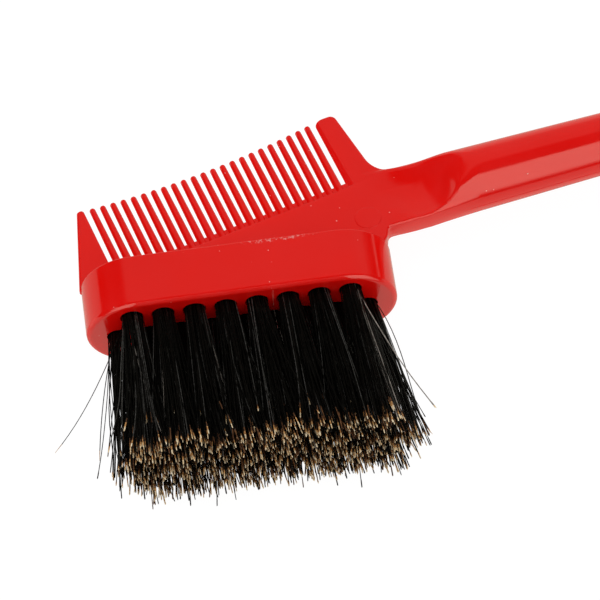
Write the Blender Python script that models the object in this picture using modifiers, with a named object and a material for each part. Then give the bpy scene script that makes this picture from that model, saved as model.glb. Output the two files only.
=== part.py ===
"""Double-sided tint brush: a moulded handle and comb with a block of staple-set bristle tufts.

One moulding carries everything: a tapering round handle, thumb scoops that thin it to a plate, a
comb along one edge of the plate, and a deep stadium-shaped block along the other edge. The block's
open face has blind holes in three rows. Each hole holds one tuft of bristle, folded round a flat
metal anchor that bites into the walls of the hole.

Frame: metres, +Z up. The brush lies on its side. The origin is the middle of the block's lower
side face, +X runs along the handle to its tail, +Y points to the comb and -Y to the bristles.
"""

import math

import bmesh
import bpy
from mathutils import Matrix, Vector

MM = 0.001

# Driving dimensions, millimetres and degrees.
TOOTH_PITCH = 2.0
TOOTH_COUNT = 23
COMB_TURN = 6.87
BLOCK_TURN = -9.25

BLOCK_LENGTH = 57.8
BLOCK_HEIGHT = 20.1
BLOCK_DEPTH = 10.7
BLOCK_EDGE = 0.9

HANDLE_Y = 11.0
HANDLE_NECK_RADIUS = 6.4
HANDLE_TAIL_RADIUS = 3.9
HANDLE_START_X = 27.0
HANDLE_TAIL_X = 185.0
HANDLE_DOME = 3.0
HANDLE_STEPS = 32

TUFT_PITCH = 5.76
TUFT_RADIUS = 1.85
TUFT_TIP_RADIUS = 2.4
TUFT_FREE_LENGTH = 29.0
ROW_SPACING = 5.9
OUTER_ROW_TUFTS = 8
MIDDLE_ROW_TUFTS = 9
FAN_ANGLE = 8.0
ROW_LEAN = 2.0

HOLE_CLEARANCE = 0.3
HOLE_DEPTH = 7.0
ANCHOR_THICKNESS = 0.4
ANCHOR_HEIGHT = 1.8
ANCHOR_BITE = 0.45
ANCHOR_CLEARANCE = 0.2
ANCHOR_FLOOR_GAP = 1.3

# Comb and plate. Lengths across the comb are measured from its base line.
COMB_ORIGIN = (-19.2, 10.7)
TIP_LENGTH = 14.75
TIP_CURVE = 1.3
GUARD_TIP = 16.4
WEB_REACH = 1.14
WEB_THICKNESS = 0.7
BASE_THICKNESS = 1.75
TIP_THICKNESS = 1.1
SPINE_TAPER = 0.11
PLATE_SINK = 3.0
NECK_HALF_WIDTH = 6.3
NECK_DRAW_IN = 0.4
NECK_START_X = 30.4
NECK_LOWER_FILLET = 1.2
NECK_UPPER_FILLET = 5.5
NECK_UPPER_X = 32.0
NECK_END_X = 41.0
LEFT_GUARD = (-8.9, -2.9, -1.6)
RIGHT_GUARD = (45.3, 49.7)
TOOTH_ROOT_WIDTH = 1.25
TOOTH_TIP_WIDTH = 0.84
TOOTH_SINK = 1.2
TOOTH_TIP_EASE = 0.3
FLAT_SHARE = math.cos(math.radians(30))

# Thumb scoops: flat and just inside the plate's surfaces, then a concave arc up to the round handle.
SCOOP_FLOOR_THICKNESS = 2.2
SCOOP_START_X = 34.0
SCOOP_RUN = 12.5

CAST_SEGMENTS = 12
MID_Z = BLOCK_HEIGHT / 2
ROUND_ANGLE = math.radians(35)


def metres(point):
    return Vector(point) * MM


def turned(point, degrees, about=(0.0, 0.0)):
    """A plan point given in a frame turned by degrees, moved to that frame's own origin."""
    angle = math.radians(degrees)
    x = point[0] * math.cos(angle) - point[1] * math.sin(angle)
    y = point[0] * math.sin(angle) + point[1] * math.cos(angle)
    return (x + about[0], y + about[1])


def comb_point(along, out):
    """Plan point from the distance along the comb's base line and the distance out towards the tips."""
    return turned((along, out), COMB_TURN, COMB_ORIGIN)


def block_matrix(along=0.0, out=0.0, up=0.0):
    """Frame on the block: X along it, Y out of the bristle face, Z across its rows."""
    angle = math.radians(BLOCK_TURN)
    axis_x = Vector((math.cos(angle), math.sin(angle), 0.0))
    axis_y = Vector((math.sin(angle), -math.cos(angle), 0.0))
    face = axis_y * (BLOCK_DEPTH / 2)
    origin = face + axis_x * along + axis_y * out + Vector((0.0, 0.0, MID_Z + up))
    matrix = Matrix((axis_x, axis_y, Vector((0.0, 0.0, 1.0)))).transposed().to_4x4()
    matrix.translation = origin * MM
    return matrix


def clear_scene():
    for old in list(bpy.data.objects):
        bpy.data.objects.remove(old, do_unlink=True)


def new_collection(name):
    collection = bpy.data.collections.new(name)
    bpy.context.scene.collection.children.link(collection)
    return collection


def make_material(name, colour, roughness, metallic):
    material = bpy.data.materials.new(name)
    material.use_nodes = True
    shader = material.node_tree.nodes["Principled BSDF"]
    shader.inputs["Base Color"].default_value = (*colour, 1.0)
    shader.inputs["Roughness"].default_value = roughness
    shader.inputs["Metallic"].default_value = metallic
    material.diffuse_color = (*colour, 1.0)
    return material


def add_object(name, data, collection, material=None):
    thing = bpy.data.objects.new(name, data)
    collection.objects.link(thing)
    if material is not None:
        thing.data.materials.clear()
        thing.data.materials.append(material)
    return thing


def hide_cutter(thing):
    thing.hide_render = True
    thing.display_type = "WIRE"
    return thing


def mesh_from_bmesh(name, shape):
    mesh = bpy.data.meshes.new(name)
    shape.to_mesh(mesh)
    shape.free()
    return mesh


def mesh_from_curve(name, curve):
    """The closed mesh of a filled curve, with the rims of its caps welded."""
    guide = bpy.data.objects.new(name + "_guide", curve)
    bpy.context.scene.collection.objects.link(guide)
    evaluated = guide.evaluated_get(bpy.context.evaluated_depsgraph_get())
    mesh = bpy.data.meshes.new_from_object(evaluated)
    mesh.name = name
    bpy.data.objects.remove(guide, do_unlink=True)
    shape = bmesh.new()
    shape.from_mesh(mesh)
    bmesh.ops.remove_doubles(shape, verts=shape.verts, dist=1e-6)
    bmesh.ops.recalc_face_normals(shape, faces=shape.faces)
    shape.to_mesh(mesh)
    shape.free()
    return mesh


def rounded_outline(corners):
    """Plan points of a polygon whose corners (x, y, radius) are rounded with arcs."""
    points = []
    count = len(corners)
    for i, (x, y, radius) in enumerate(corners):
        here = Vector((x, y))
        back = (Vector(corners[i - 1][:2]) - here).normalized()
        ahead = (Vector(corners[(i + 1) % count][:2]) - here).normalized()
        if radius == 0:
            points.append(here)
            continue
        half = back.angle(ahead) / 2
        centre = here + (back + ahead).normalized() * (radius / math.sin(half))
        start = here + back * (radius / math.tan(half)) - centre
        sweep = start.angle_signed(here + ahead * (radius / math.tan(half)) - centre)
        steps = max(2, math.ceil(abs(sweep) / math.radians(18)))
        for step in range(steps + 1):
            turn = -sweep * step / steps
            points.append(centre + Matrix.Rotation(turn, 2) @ start)
    return points


def extruded_mesh(name, outline, half_thickness):
    """A flat plan outline as a solid, from -half_thickness to +half_thickness in its own Z."""
    curve = bpy.data.curves.new(name, "CURVE")
    curve.dimensions = "2D"
    curve.fill_mode = "BOTH"
    curve.extrude = half_thickness * MM
    spline = curve.splines.new("POLY")
    spline.points.add(len(outline) - 1)
    for point, place in zip(spline.points, outline):
        point.co = (place[0] * MM, place[1] * MM, 0.0, 1.0)
    spline.use_cyclic_u = True
    return mesh_from_curve(name, curve)


def add_boolean(target, cutter, operation):
    modifier = target.modifiers.new(cutter.name, "BOOLEAN")
    modifier.operation = operation
    modifier.solver = "EXACT"
    modifier.object = cutter


def stadium_outline(length, height):
    radius = height / 2
    corners = [
        (-length / 2, -radius, radius),
        (length / 2, -radius, radius),
        (length / 2, radius, radius),
        (-length / 2, radius, radius),
    ]
    return rounded_outline(corners)


def make_block(collection, material):
    mesh = extruded_mesh("moulded_body", stadium_outline(BLOCK_LENGTH, BLOCK_HEIGHT), BLOCK_DEPTH / 2)
    # The outline lies in X and Z, and the depth runs along -Y of the block's frame.
    mesh.transform(Matrix.Rotation(math.radians(90), 4, "X"))
    mesh.transform(block_matrix(out=-BLOCK_DEPTH / 2))
    block = add_object("moulded_body", mesh, collection, material)
    bevel = block.modifiers.new("edge", "BEVEL")
    bevel.width = BLOCK_EDGE * MM
    bevel.segments = 2
    bevel.limit_method = "ANGLE"
    bevel.angle_limit = math.radians(50)
    return block


def comb_height(out):
    """Half thickness of the plate and comb at a distance out from the base line."""
    if out < 0:
        return BASE_THICKNESS / 2 - SPINE_TAPER * out
    return BASE_THICKNESS / 2 - (BASE_THICKNESS - TIP_THICKNESS) / 2 * out / GUARD_TIP


def taper_plate(mesh):
    """Sets the plate's surfaces to the comb's thickness, with a crease along the base line."""
    shape = bmesh.new()
    shape.from_mesh(mesh)
    angle = math.radians(COMB_TURN)
    outward = Vector((-math.sin(angle), math.cos(angle), 0.0))
    base = metres((*COMB_ORIGIN, 0.0))
    every = shape.verts[:] + shape.edges[:] + shape.faces[:]
    bmesh.ops.bisect_plane(shape, geom=every, plane_co=base, plane_no=outward, dist=1e-7)
    for vert in shape.verts:
        out = (vert.co - base).dot(outward) / MM
        vert.co.z = math.copysign(comb_height(out) * MM, vert.co.z)
    shape.to_mesh(mesh)
    shape.free()


def plate_outline():
    """The plate with both guards. It dips into the block along its lower side.

    LEFT_GUARD holds the guard's outer foot, outer tip and inner flank along the comb. RIGHT_GUARD
    holds the inner flank and the outer tip.
    """
    foot, left_tip, left_flank = LEFT_GUARD
    right_flank, right_tip = RIGHT_GUARD
    dip = BLOCK_DEPTH / 2 - PLATE_SINK
    half = BLOCK_LENGTH / 2 - PLATE_SINK
    neck_low = HANDLE_Y - NECK_HALF_WIDTH
    neck_high = HANDLE_Y + NECK_HALF_WIDTH
    return rounded_outline([
        (*comb_point(left_tip, GUARD_TIP), 0.7),
        (*comb_point(foot, 0.0), 0.0),
        (*turned((-half, dip), BLOCK_TURN), 0.0),
        (*turned((half, dip), BLOCK_TURN), 0.0),
        (NECK_START_X - 0.8, neck_low - 2.0, 0.0),
        (NECK_START_X, neck_low, NECK_LOWER_FILLET),
        (NECK_END_X, neck_low + NECK_DRAW_IN, 0.0),
        (NECK_END_X, neck_high - NECK_DRAW_IN, 0.0),
        (NECK_UPPER_X, neck_high, NECK_UPPER_FILLET),
        (*comb_point(right_tip, GUARD_TIP - 0.1), 1.3),
        (*comb_point(right_flank, GUARD_TIP), 2.0),
        (*comb_point(right_flank, 0.0), 0.0),
        (*comb_point(left_flank, 0.0), 0.0),
        (*comb_point(left_flank, GUARD_TIP), 0.6),
    ])


def make_plate(cutters):
    mesh = extruded_mesh("plate", plate_outline(), BASE_THICKNESS / 2)
    taper_plate(mesh)
    mesh.transform(Matrix.Translation((0.0, 0.0, MID_Z * MM)))
    return hide_cutter(add_object("plate", mesh, cutters))


def make_web(cutters):
    """The thin strip that closes the gaps between the teeth just above the base line."""
    last = TOOTH_PITCH * (TOOTH_COUNT - 1) + 2.0
    corners = [comb_point(-2.4, -1.0), comb_point(last, -1.0), comb_point(last, WEB_REACH)]
    corners.append(comb_point(-2.4, WEB_REACH))
    mesh = extruded_mesh("gullet_web", corners, WEB_THICKNESS / 2)
    mesh.transform(Matrix.Translation((0.0, 0.0, MID_Z * MM)))
    return hide_cutter(add_object("gullet_web", mesh, cutters))


def tooth_reach(index):
    """Tips lie on a shallow concave arc, lowest at the middle of the comb."""
    middle = (TOOTH_COUNT - 1) / 2
    across = (index - middle) / middle
    return TIP_LENGTH + TIP_CURVE * across * across


def tooth_mesh(index):
    """One tapered tooth of six-sided section, widest at mid thickness, with an eased tip."""
    reach = tooth_reach(index)
    shape = bmesh.new()
    bmesh.ops.create_cone(shape, cap_ends=True, segments=6, radius1=0.5, radius2=0.5, depth=1.0)
    for vert in shape.verts:
        tip = vert.co.z > 0
        width = TOOTH_TIP_WIDTH if tip else TOOTH_ROOT_WIDTH
        height = TIP_THICKNESS if tip else BASE_THICKNESS
        out = reach if tip else -TOOTH_SINK
        # The primitive has corners on Y, and flats at FLAT_SHARE of its half width on X.
        vert.co = Vector((vert.co.y * width, out, vert.co.x / FLAT_SHARE * height))
    rim = [edge for edge in shape.edges if all(vert.co.y > 0 for vert in edge.verts)]
    bmesh.ops.bevel(shape, geom=rim, offset=TOOTH_TIP_EASE, segments=2, profile=0.5, affect="EDGES")
    for vert in shape.verts:
        plan = comb_point(vert.co.x + TOOTH_PITCH * index, vert.co.y)
        vert.co = metres((*plan, MID_Z + vert.co.z))
    bmesh.ops.recalc_face_normals(shape, faces=shape.faces)
    return mesh_from_bmesh(f"tooth_{index + 1}", shape)


def make_teeth(cutters):
    shape = bmesh.new()
    for index in range(TOOTH_COUNT):
        tooth = tooth_mesh(index)
        shape.from_mesh(tooth)
        bpy.data.meshes.remove(tooth)
    return hide_cutter(add_object("comb_teeth", mesh_from_bmesh("comb_teeth", shape), cutters))


def handle_radius(along):
    share = (along - HANDLE_START_X) / (HANDLE_TAIL_X - HANDLE_START_X)
    return HANDLE_NECK_RADIUS + (HANDLE_TAIL_RADIUS - HANDLE_NECK_RADIUS) * share


def make_handle(cutters):
    """The round handle, turned about X, with a domed tail."""
    profile = []
    for step in range(6):
        angle = math.radians(90 * step / 5)
        profile.append((HANDLE_TAIL_RADIUS * math.sin(angle), HANDLE_TAIL_X - HANDLE_DOME * (1 - math.cos(angle))))
    profile.append((handle_radius(HANDLE_START_X), HANDLE_START_X))
    profile.append((0.0, HANDLE_START_X))
    shape = bmesh.new()
    verts = [shape.verts.new(metres((radius, 0.0, along))) for radius, along in profile]
    for first, second in zip(verts, verts[1:]):
        shape.edges.new((first, second))
    handle = add_object("handle", mesh_from_bmesh("handle", shape), cutters)
    screw = handle.modifiers.new("turn", "SCREW")
    screw.axis = "Z"
    screw.steps = HANDLE_STEPS
    screw.render_steps = HANDLE_STEPS
    screw.use_merge_vertices = True
    screw.merge_threshold = 0.00001
    handle.matrix_world = Matrix.Translation(metres((0.0, HANDLE_Y, MID_Z))) @ Matrix.Rotation(
        math.radians(90), 4, "Y"
    )
    return hide_cutter(handle)


def make_scoop(cutters, side):
    """Cutter for one thumb scoop: above its floor, then rising along an arc. side is +1 or -1."""
    low = SCOOP_FLOOR_THICKNESS / 2
    rise = HANDLE_NECK_RADIUS - low
    radius = (SCOOP_RUN * SCOOP_RUN + rise * rise) / (2 * rise)
    end_angle = math.asin(SCOOP_RUN / radius) * 1.15
    start = HANDLE_START_X - 3.0
    outline = [Vector((start, low))]
    for step in range(CAST_SEGMENTS + 1):
        angle = end_angle * step / CAST_SEGMENTS
        outline.append(Vector((SCOOP_START_X + radius * math.sin(angle), low + radius * (1 - math.cos(angle)))))
    outline.append(Vector((start, outline[-1].y)))
    mesh = extruded_mesh("scoop", outline, HANDLE_NECK_RADIUS * 1.5)
    mesh.transform(Matrix.Rotation(math.radians(90), 4, "X"))
    if side < 0:
        mesh.transform(Matrix.Rotation(math.radians(180), 4, "X"))
    mesh.transform(Matrix.Translation(metres((0.0, HANDLE_Y, MID_Z))))
    return hide_cutter(add_object("upper_scoop" if side > 0 else "lower_scoop", mesh, cutters))


def tuft_places():
    """Name, distance along the block and height over its middle of each tuft."""
    places = []
    rows = (
        ("upper", ROW_SPACING, OUTER_ROW_TUFTS),
        ("middle", 0.0, MIDDLE_ROW_TUFTS),
        ("lower", -ROW_SPACING, OUTER_ROW_TUFTS),
    )
    for row, up, count in rows:
        for index in range(count):
            along = (index - (count - 1) / 2) * TUFT_PITCH
            places.append((f"{row}_{index + 1}", along, up))
    return places


def make_holes(cutters, places):
    shape = bmesh.new()
    radius = TUFT_RADIUS + HOLE_CLEARANCE
    for _, along, up in places:
        turn = Matrix.Rotation(math.radians(90), 4, "X")
        place = block_matrix(along, -(HOLE_DEPTH - 1.0) / 2, up) @ turn
        bmesh.ops.create_cone(
            shape,
            cap_ends=True,
            segments=16,
            radius1=radius * MM,
            radius2=radius * MM,
            depth=(HOLE_DEPTH + 1.0) * MM,
            matrix=place,
        )
    bmesh.ops.recalc_face_normals(shape, faces=shape.faces)
    return hide_cutter(add_object("tuft_holes", mesh_from_bmesh("tuft_holes", shape), cutters))


def anchor_depth():
    """Distance of the anchor's middle below the bristle face."""
    return HOLE_DEPTH - ANCHOR_FLOOR_GAP - ANCHOR_HEIGHT / 2


def anchor_length():
    return 2 * (TUFT_RADIUS + HOLE_CLEARANCE + ANCHOR_BITE)


def anchor_box(name, along, up, clearance):
    shape = bmesh.new()
    size = (
        (ANCHOR_THICKNESS + 2 * clearance) * MM,
        (ANCHOR_HEIGHT + 2 * clearance) * MM,
        (anchor_length() + 2 * clearance) * MM,
    )
    place = block_matrix(along, -anchor_depth(), up)
    bmesh.ops.create_cube(shape, size=1.0, matrix=place @ Matrix.Diagonal((*size, 1.0)))
    bmesh.ops.recalc_face_normals(shape, faces=shape.faces)
    return mesh_from_bmesh(name, shape)


def make_pockets(cutters, places):
    """The pockets that the ends of the anchors sit in, each open to its hole."""
    shape = bmesh.new()
    for name, along, up in places:
        pocket = anchor_box("pocket", along, up, ANCHOR_CLEARANCE)
        shape.from_mesh(pocket)
        bpy.data.meshes.remove(pocket)
    return hide_cutter(add_object("anchor_pockets", mesh_from_bmesh("anchor_pockets", shape), cutters))


def make_body(collection, cutters, material, places):
    body = make_block(collection, material)
    handle = make_handle(cutters)
    add_boolean(handle, make_scoop(cutters, 1), "DIFFERENCE")
    add_boolean(handle, make_scoop(cutters, -1), "DIFFERENCE")
    add_boolean(body, make_plate(cutters), "UNION")
    add_boolean(body, handle, "UNION")
    add_boolean(body, make_web(cutters), "UNION")
    add_boolean(body, make_teeth(cutters), "UNION")
    add_boolean(body, make_holes(cutters, places), "DIFFERENCE")
    add_boolean(body, make_pockets(cutters, places), "DIFFERENCE")
    return body


def tuft_mesh(name, along, up):
    """One tuft: straight in its hole, then widening and leaning away from the block's middle."""
    reach = BLOCK_LENGTH / 2
    fan = math.tan(math.radians(FAN_ANGLE * along / reach))
    lean = math.tan(math.radians(ROW_LEAN * up / ROW_SPACING))
    depth = HOLE_DEPTH - HOLE_CLEARANCE
    stations = (
        (-depth, TUFT_RADIUS),
        (0.0, TUFT_RADIUS),
        (TUFT_FREE_LENGTH * 0.5, (TUFT_RADIUS + TUFT_TIP_RADIUS) / 2),
        (TUFT_FREE_LENGTH - 1.0, TUFT_TIP_RADIUS),
        (TUFT_FREE_LENGTH, TUFT_TIP_RADIUS * 0.7),
    )
    curve = bpy.data.curves.new(name, "CURVE")
    curve.dimensions = "3D"
    curve.bevel_depth = MM
    curve.bevel_resolution = 4
    curve.use_fill_caps = True
    spline = curve.splines.new("POLY")
    spline.points.add(len(stations) - 1)
    for point, (out, radius) in zip(spline.points, stations):
        free = max(out, 0.0)
        point.co = (*metres((fan * free, out, lean * free)), 1.0)
        point.radius = radius
    mesh = mesh_from_curve(name, curve)
    mesh.transform(block_matrix(along, 0.0, up))
    return mesh


def make_tuft(collection, cutters, material, place):
    label, along, up = place
    tuft = add_object(f"tuft_{label}", tuft_mesh(f"tuft_{label}", along, up), collection, material)
    window = add_object(
        f"window_{label}", anchor_box(f"window_{label}", along, up, ANCHOR_CLEARANCE), cutters
    )
    add_boolean(tuft, hide_cutter(window), "DIFFERENCE")
    return tuft


def make_anchor(collection, material, place):
    label, along, up = place
    return add_object(f"anchor_{label}", anchor_box(f"anchor_{label}", along, up, 0.0), collection, material)


def shade_round(thing):
    thing.data.shade_smooth()
    thing.data.set_sharp_from_angle(angle=ROUND_ANGLE)


def main():
    clear_scene()
    parts = new_collection("tint_brush")
    cutters = new_collection("tint_brush_cutters")
    red_plastic = make_material("red_plastic", (0.64, 0.012, 0.008), 0.22, 0.0)
    bristle = make_material("black_bristle", (0.012, 0.010, 0.009), 0.45, 0.0)
    anchor_wire = make_material("anchor_wire", (0.72, 0.62, 0.38), 0.35, 1.0)
    places = tuft_places()
    shade_round(make_body(parts, cutters, red_plastic, places))
    for place in places:
        shade_round(make_tuft(parts, cutters, bristle, place))
        make_anchor(parts, anchor_wire, place)


main()
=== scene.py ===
"""Looks of the double-sided tint brush: glossy red moulding, black bristle tufts, white table.

Lengths are millimetres in the part's frame, apart from those in the studio and the shaders, which
are metres. Heights of the moulding are measured from the middle plane of the block.
"""

import math

import bpy
import numpy as np
from mathutils import Matrix, Vector


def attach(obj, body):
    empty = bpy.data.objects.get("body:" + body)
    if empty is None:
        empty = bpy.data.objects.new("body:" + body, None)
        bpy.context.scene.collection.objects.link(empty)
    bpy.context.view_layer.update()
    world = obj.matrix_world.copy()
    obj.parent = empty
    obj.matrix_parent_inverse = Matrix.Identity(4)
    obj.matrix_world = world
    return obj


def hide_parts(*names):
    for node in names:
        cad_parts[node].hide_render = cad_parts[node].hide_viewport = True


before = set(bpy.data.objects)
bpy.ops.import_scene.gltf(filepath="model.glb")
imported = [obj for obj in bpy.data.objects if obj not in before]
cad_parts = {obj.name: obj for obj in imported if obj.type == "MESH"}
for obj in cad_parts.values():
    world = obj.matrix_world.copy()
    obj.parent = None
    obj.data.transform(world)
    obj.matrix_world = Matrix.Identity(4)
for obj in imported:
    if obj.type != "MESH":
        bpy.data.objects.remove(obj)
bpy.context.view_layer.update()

MM = 0.001

# Shape, as in the part.
TOOTH_PITCH = 2.0
TOOTH_COUNT = 23
COMB_TURN = 6.87
BLOCK_TURN = -9.25
BLOCK_LENGTH = 57.8
BLOCK_HEIGHT = 20.1
BLOCK_DEPTH = 10.7
MID_Z = BLOCK_HEIGHT / 2
HANDLE_Y = 11.0
HANDLE_NECK_RADIUS = 6.4
HANDLE_TAIL_RADIUS = 3.9
HANDLE_START_X = 27.0
HANDLE_TAIL_X = 185.0
HANDLE_DOME = 3.0
TUFT_PITCH = 5.76
TUFT_RADIUS = 1.85
HOLE_CLEARANCE = 0.3
HOLE_DEPTH = 7.0
ROW_SPACING = 5.9
COMB_ORIGIN = (-19.2, 10.7)
TIP_LENGTH = 14.75
TIP_CURVE = 1.3
GUARD_TIP = 16.4
WEB_REACH = 1.14
WEB_THICKNESS = 0.7
BASE_THICKNESS = 1.75
TIP_THICKNESS = 1.1
SPINE_TAPER = 0.11
PLATE_SINK = 3.0
NECK_HALF_WIDTH = 6.3
NECK_DRAW_IN = 0.4
NECK_START_X = 30.4
NECK_LOWER_FILLET = 1.2
NECK_UPPER_FILLET = 5.5
NECK_UPPER_X = 32.0
NECK_END_X = 41.0
TOOTH_SINK = 1.2

# Places along the comb's base line. The left guard has its outer foot, its outer tip and its inner
# flank, and the right guard its inner flank and its outer tip.
LAST_TOOTH = TOOTH_PITCH * (TOOTH_COUNT - 1)
LEFT_GUARD = (-8.9, -2.9, -1.6)
RIGHT_GUARD = (LAST_TOOTH + 1.3, 49.7)

# Finer shape that only the looks carry. Teeth, handle and neck are a little fuller than in the part.
TOOTH_ROOT_WIDTH = 1.72
TOOTH_TIP_WIDTH = 1.24
TOOTH_FLAT = 0.24
TOOTH_ROUNDING = 0.27
TOOTH_TIP_RUN = 0.42
TOOTH_TIP_BLUNT = 0.12
WEB_MARGIN = (2.4, 2.0)
WEB_SINK = 1.0
WEB_CHAMFER = (0.15, 0.12)
PLATE_EDGE = 0.48
PLATE_END_X = 48.0
PLATE_END_HALF_WIDTH = 5.4
NECK_TAPER_X = 39.0
HANDLE_SWELL = 0.12
NECK_SWELL = 0.15
BACK_EDGE = 0.42
FACE_EDGE = 0.95
GUARD_FLANK_RUN = 1.6
GUARD_FLANK_RISE = 0.87
GUARD_FLANK_BLUNT = 0.35
GUARD_FLANK_BLEND = 0.2
NOSE_X = 31.0
NOSE_HEIGHT = 0.8
NOSE_SLOPE = 0.3
NOSE_BLEND = 0.6
NECK_BLEND = 0.9
DISH_X = 37.5
DISH_FLOOR = 0.9
DISH_LEFT_RADIUS = 12.0
DISH_RIGHT_RADIUS = 9.2
DISH_CROWN = 1.3
DISH_HALF_WIDTH = 5.8
RIM_BLEND = 0.45
RIM_EXTRA_BLEND = 1.6
RIM_FADE_START = -3.0
RIM_FADE_WIDTH = 5.0
SEAM_START_X = 40.0
SEAM_HALF_WIDTH = 0.11
SEAM_PROUD = 0.04
SEAM_SINK = 0.15
EJECTOR_PLACE = (27.4, 7.75)
EJECTOR_RADIUS = 2.5
EJECTOR_PROUD = 0.10

# How finely the shapes are cut.
FINE_STEP = 0.22
COARSE_STEP = 1.5
FINE_END_X = 50.0
STADIUM_STEPS = 28
HOLE_SIDES = 24
SEAM_STATIONS = 60
EJECTOR_SIDES = 48


# Shared plan geometry


def turned(point, degrees, about=(0.0, 0.0)):
    """A plan point given in a frame turned by degrees, moved to that frame's own origin."""
    angle = math.radians(degrees)
    x = point[0] * math.cos(angle) - point[1] * math.sin(angle)
    y = point[0] * math.sin(angle) + point[1] * math.cos(angle)
    return (x + about[0], y + about[1])


def comb_point(along, out):
    """Plan point from the distance along the comb's base line and the distance out to the tips."""
    return turned((along, out), COMB_TURN, COMB_ORIGIN)


def block_axes():
    """Directions along the block, out of its bristle face and up."""
    angle = math.radians(BLOCK_TURN)
    along = np.array([math.cos(angle), math.sin(angle), 0.0])
    out = np.array([math.sin(angle), -math.cos(angle), 0.0])
    return along, out, np.array([0.0, 0.0, 1.0])


def from_block(points):
    """Turns the block's own points (along, out of the bristle face, up) into points of the part."""
    along, out, up = block_axes()
    points = np.asarray(points, float)
    return points[..., :1] * along + (points[..., 1:2] + BLOCK_DEPTH / 2) * out + points[..., 2:3] * up


def rounded_outline(corners, step=7.0, pieces=None):
    """Plan points of a polygon whose corners (x, y, radius) are rounded with arcs."""
    points = []
    count = len(corners)
    for i, (x, y, radius) in enumerate(corners):
        here = Vector((x, y))
        if radius == 0:
            points.append(here)
            continue
        back = (Vector(corners[i - 1][:2]) - here).normalized()
        ahead = (Vector(corners[(i + 1) % count][:2]) - here).normalized()
        half = back.angle(ahead) / 2
        centre = here + (back + ahead).normalized() * (radius / math.sin(half))
        start = here + back * (radius / math.tan(half)) - centre
        sweep = start.angle_signed(here + ahead * (radius / math.tan(half)) - centre)
        steps = pieces or max(2, math.ceil(abs(sweep) / math.radians(step)))
        for number in range(steps + 1):
            points.append(centre + Matrix.Rotation(-sweep * number / steps, 2) @ start)
    return np.array([tuple(point) for point in points])


def plate_outline():
    left_base, left_tip, left_inner = LEFT_GUARD
    right_inner, right_tip = RIGHT_GUARD
    dip = BLOCK_DEPTH / 2 - PLATE_SINK
    half = BLOCK_LENGTH / 2 - PLATE_SINK
    low = HANDLE_Y - NECK_HALF_WIDTH - NECK_SWELL
    high = HANDLE_Y + NECK_HALF_WIDTH
    return rounded_outline([
        (*comb_point(left_tip, GUARD_TIP), 0.7),
        (*comb_point(left_base, 0.0), 0.0),
        (*turned((-half, dip), BLOCK_TURN), 0.0),
        (*turned((half, dip), BLOCK_TURN), 0.0),
        (NECK_START_X - 0.8, low - 2.0, 0.0),
        (NECK_START_X, low, NECK_LOWER_FILLET),
        (NECK_TAPER_X, low + 0.05, 4.0),
        (PLATE_END_X, HANDLE_Y - PLATE_END_HALF_WIDTH, 0.0),
        (PLATE_END_X, HANDLE_Y + PLATE_END_HALF_WIDTH, 0.0),
        (NECK_END_X, high - NECK_DRAW_IN, 0.0),
        (NECK_UPPER_X, high, NECK_UPPER_FILLET),
        (*comb_point(right_tip, GUARD_TIP - 0.1), 1.3),
        (*comb_point(right_inner, GUARD_TIP), 2.0),
        (*comb_point(right_inner, 0.0), 0.0),
        (*comb_point(left_inner, 0.0), 0.0),
        (*comb_point(left_inner, GUARD_TIP), 0.6),
    ])


PLATE = plate_outline()


# Plate, neck and handle as one smooth surface


def smooth_max(a, b, blend):
    """The larger of two fields, rounded where they differ by less than the blend."""
    share = np.clip(0.5 + 0.5 * (a - b) / blend, 0.0, 1.0)
    return b + (a - b) * share + blend * share * (1.0 - share)


def smooth_min(a, b, blend):
    return -smooth_max(-a, -b, blend)


def outline_distance(x, y, outline):
    """Signed distance in plan to a closed outline, negative inside."""
    x, y = np.broadcast_arrays(x, y)
    best = np.full(x.shape, 1e9)
    inside = np.zeros(x.shape, bool)
    for (ax, ay), (bx, by) in zip(outline, np.roll(outline, -1, axis=0)):
        ex, ey = bx - ax, by - ay
        wx, wy = x - ax, y - ay
        share = np.clip((wx * ex + wy * ey) / (ex * ex + ey * ey), 0.0, 1.0)
        best = np.minimum(best, (wx - ex * share) ** 2 + (wy - ey * share) ** 2)
        if ey:
            inside ^= ((ay <= y) != (by <= y)) & (wx < wy * ex / ey)
    return np.where(inside, -1.0, 1.0) * np.sqrt(best)


def handle_radius(x):
    share = (x - HANDLE_START_X) / (HANDLE_TAIL_X - HANDLE_START_X)
    return HANDLE_NECK_RADIUS + HANDLE_SWELL + (HANDLE_TAIL_RADIUS - HANDLE_NECK_RADIUS) * share


def plate_field(x, y, height):
    """The plate and both guards: an outline whose thickness changes with the distance from the comb."""
    angle = math.radians(COMB_TURN)
    from_x, from_y = x - COMB_ORIGIN[0], y - COMB_ORIGIN[1]
    along = from_x * math.cos(angle) + from_y * math.sin(angle)
    out = from_y * math.cos(angle) - from_x * math.sin(angle)
    taper = (BASE_THICKNESS - TIP_THICKNESS) / 2 / GUARD_TIP
    half = BASE_THICKNESS / 2 - np.where(out < 0, SPINE_TAPER, taper) * out
    side = outline_distance(x, y, PLATE) + PLATE_EDGE
    face = height - half + PLATE_EDGE
    plate = np.hypot(np.maximum(side, 0), np.maximum(face, 0)) + np.minimum(np.maximum(side, face), 0)
    plate = plate - PLATE_EDGE
    # The inner flank of the guard beside the last tooth slopes from its edge up to its face.
    start = RIGHT_GUARD[0]
    blunt = np.hypot(height, GUARD_FLANK_BLUNT)
    flank = blunt * GUARD_FLANK_RUN - (along - start + GUARD_FLANK_BLUNT) * GUARD_FLANK_RISE
    flank = flank / math.hypot(GUARD_FLANK_RUN, GUARD_FLANK_RISE)
    cut = np.minimum(np.minimum(flank, out), along - start / 2)
    return smooth_max(plate, cut, GUARD_FLANK_BLEND)


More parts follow.
